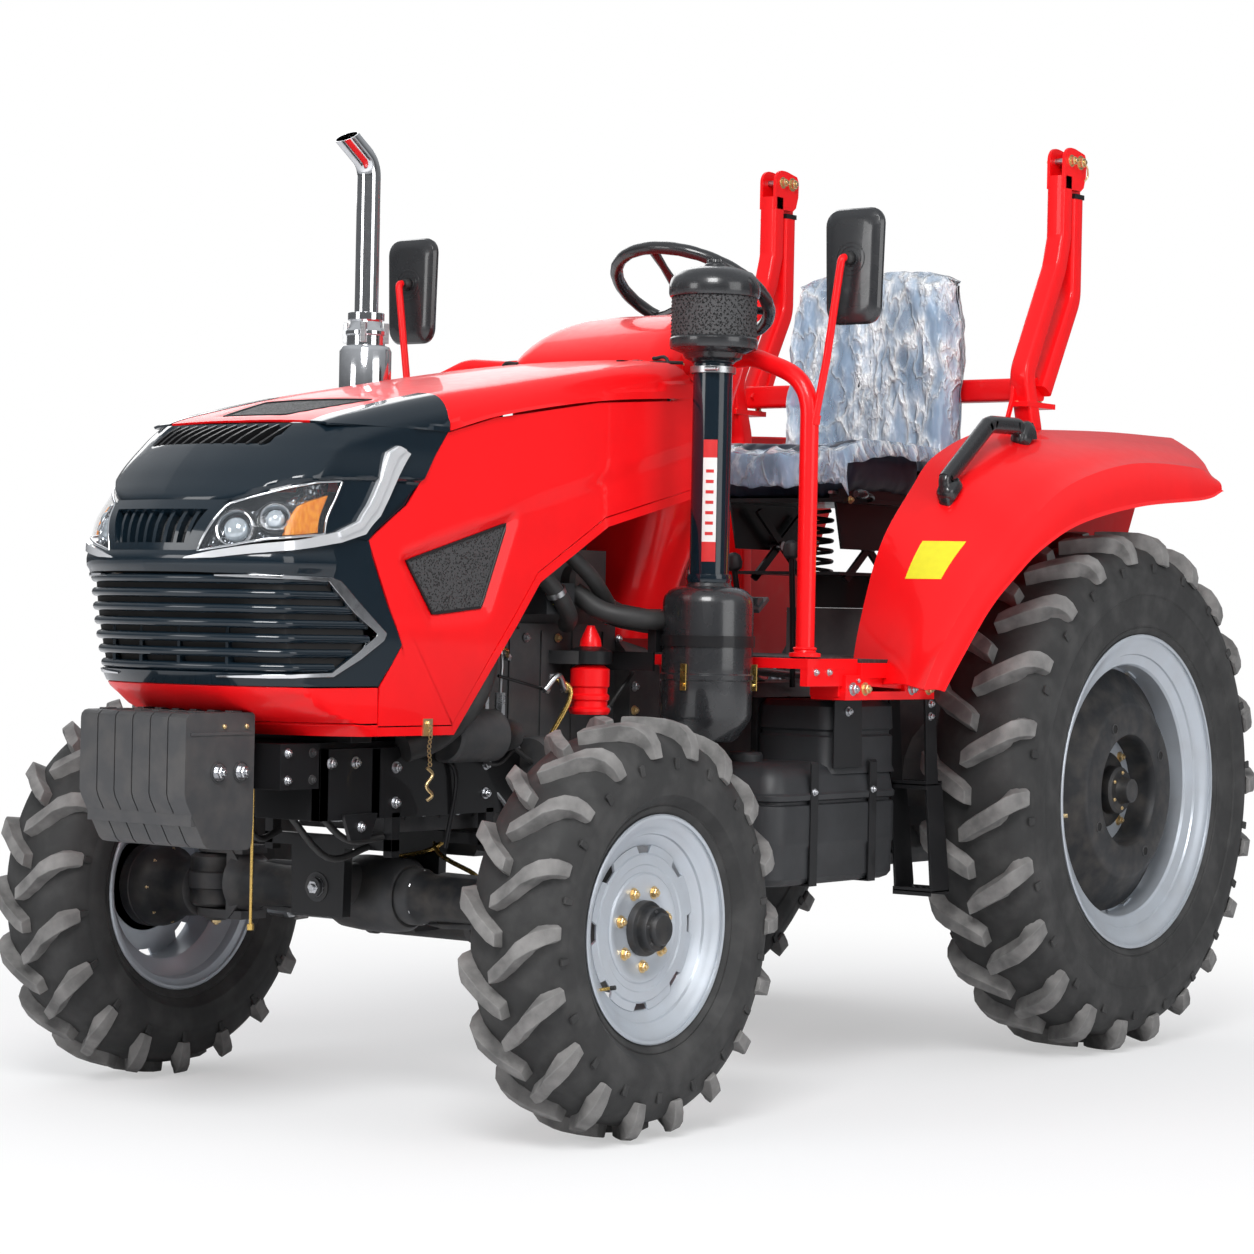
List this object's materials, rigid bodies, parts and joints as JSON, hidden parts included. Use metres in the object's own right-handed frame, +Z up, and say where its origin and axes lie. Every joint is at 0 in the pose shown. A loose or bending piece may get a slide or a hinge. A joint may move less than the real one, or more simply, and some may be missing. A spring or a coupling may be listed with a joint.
{
  "type": "farm tractor",
  "caption": "Compact four-wheel-drive farm tractor with an open station, tilting hood, steered front wheels, folding roll bar and rear three-point hitch.",
  "frame": {"origin": "on the ground, midway between the front weights and the ends of the lower links, on the centre line", "axes": "+Z up, +X towards the left side of the tractor, -Y forwards"},
  "size_m": [1.516, 3.47, 2.182],
  "materials": {
    "rim_silver": "satin silver paint",
    "tyre": "matte rubber, dusty on the lugs",
    "black_casting": "semi-gloss black painted casting",
    "bright_steel": "zinc-plated steel",
    "black_paint": "semi-gloss black paint",
    "gloss_black": "gloss black",
    "red_paint": "bright gloss red paint",
    "clear_lens": "clear lens over a chrome reflector",
    "black_plastic": "satin black moulded plastic",
    "seat_cloth": "dark seat cover under clear film",
    "chrome": "polished chrome"
  },
  "bodies": {
    "chassis": {"front_axle": "black_casting", "front_frame": "black_paint", "front_weights": "black_casting", "engine": "black_casting", "radiator": "black_paint", "gearbox": "black_casting", "rear_axle": "black_casting", "dash_cowl": "red_paint", "floor": "red_paint", "fender_left": "red_paint", "fender_right": "red_paint", "grab_handle_left": "black_plastic", "grab_handle_right": "black_plastic", "handrail_left": "red_paint", "handrail_right": "red_paint", "mirror_left": "black_plastic", "mirror_right": "black_plastic", "fuel_tank": "black_plastic", "battery_box": "black_plastic", "step_left": "black_paint", "step_right": "black_paint", "seat_base": "black_paint", "seat_cushion": "seat_cloth", "seat_back": "seat_cloth", "air_cleaner": "black_plastic", "exhaust": "chrome", "rops_post_left": "red_paint", "rops_post_right": "red_paint", "drawbar": "black_casting"},
    "hood": {"hood_top": "red_paint", "hood_side_left": "red_paint", "hood_side_right": "red_paint", "nose_frame": "gloss_black", "hood_chin": "red_paint", "grille": "gloss_black", "headlamp_left": "clear_lens", "headlamp_right": "clear_lens"},
    "knuckle_left": {"knuckle_left": "black_casting"},
    "knuckle_right": {"knuckle_right": "black_casting"},
    "front_wheel_left": {"front_rim_left": "rim_silver", "front_tyre_left": "tyre"},
    "front_wheel_right": {"front_rim_right": "rim_silver", "front_tyre_right": "tyre"},
    "rear_wheel_left": {"rear_rim_left": "rim_silver", "rear_tyre_left": "tyre"},
    "rear_wheel_right": {"rear_rim_right": "rim_silver", "rear_tyre_right": "tyre"},
    "steering_rod": {"steering_rod": "bright_steel"},
    "steering_wheel": {"steering_wheel": "black_plastic"},
    "rops_hoop": {"rops_hoop": "red_paint"},
    "lower_links": {"lower_link_left": "black_casting", "lower_link_right": "black_casting"},
    "lift_arms": {"lift_arms": "black_casting"},
    "lift_rods": {"lift_rod_left": "bright_steel", "lift_rod_right": "bright_steel"},
    "top_link": {"top_link": "bright_steel"}
  },
  "joints": [
    {"name": "hood_hinge", "type": "hinge", "parent": "chassis", "child": "hood", "pos_m": [0, -0.402, 1.559], "axis": [-1, 0, 0], "range_deg": [0, 50]},
    {"name": "steer_left", "type": "hinge", "parent": "chassis", "child": "knuckle_left", "pos_m": [0.46, -1.03, 0.43], "axis": [0, 0, 1], "range_deg": [-38, 38]},
    {"name": "steer_right", "type": "hinge", "parent": "chassis", "child": "knuckle_right", "pos_m": [-0.46, -1.03, 0.43], "axis": [0, 0, 1], "range_deg": [-38, 38]},
    {"name": "front_wheel_left_spin", "type": "hinge", "parent": "knuckle_left", "child": "front_wheel_left", "pos_m": [0.635, -1.03, 0.408], "axis": [1, 0, 0], "continuous": true},
    {"name": "front_wheel_right_spin", "type": "hinge", "parent": "knuckle_right", "child": "front_wheel_right", "pos_m": [-0.635, -1.03, 0.408], "axis": [1, 0, 0], "continuous": true},
    {"name": "rear_wheel_left_spin", "type": "hinge", "parent": "chassis", "child": "rear_wheel_left", "pos_m": [0.62, 0.85, 0.618], "axis": [1, 0, 0], "continuous": true},
    {"name": "rear_wheel_right_spin", "type": "hinge", "parent": "chassis", "child": "rear_wheel_right", "pos_m": [-0.62, 0.85, 0.618], "axis": [1, 0, 0], "continuous": true},
    {"name": "steering_wheel_turn", "type": "hinge", "parent": "chassis", "child": "steering_wheel", "pos_m": [0, 0.02, 1.76], "axis": [0, 0.4695, 0.8829], "range_deg": [-540, 540]},
    {"name": "steering_rod_slide", "type": "slide", "parent": "chassis", "child": "steering_rod", "axis": [1, 0, 0], "range_m": [-0.095, 0.095]},
    {"name": "rops_hinge", "type": "hinge", "parent": "chassis", "child": "rops_hoop", "pos_m": [0, 1.005, 2.15], "axis": [1, 0, 0], "range_deg": [0, 180]},
    {"name": "hitch_lift", "type": "hinge", "parent": "chassis", "child": "lower_links", "pos_m": [0, 0.95, 0.462], "axis": [1, 0, 0], "range_deg": [-10, 28]},
    {"name": "lift_arm_turn", "type": "hinge", "parent": "chassis", "child": "lift_arms", "pos_m": [0, 0.96, 0.985], "axis": [1, 0, 0], "range_deg": [-20, 50]},
    {"name": "lift_rod_turn", "type": "hinge", "parent": "lower_links", "child": "lift_rods", "pos_m": [0, 1.329, 0.485], "axis": [1, 0, 0], "range_deg": [-30, 12]},
    {"name": "top_link_hinge", "type": "hinge", "parent": "chassis", "child": "top_link", "pos_m": [0, 1.055, 0.95], "axis": [1, 0, 0], "range_deg": [-30, 60]}
  ],
  "couplings": [
    {"joint": "steer_right", "follows": "steer_left", "ratio": 1},
    {"joint": "steering_rod_slide", "follows": "steer_left", "m_per_rad": -0.139},
    {"joint": "steering_wheel_turn", "follows": "steer_left", "ratio": 14},
    {"joint": "lift_arm_turn", "follows": "hitch_lift", "ratio": 1.65},
    {"joint": "lift_rod_turn", "follows": "hitch_lift", "ratio": -0.92}
  ]
}
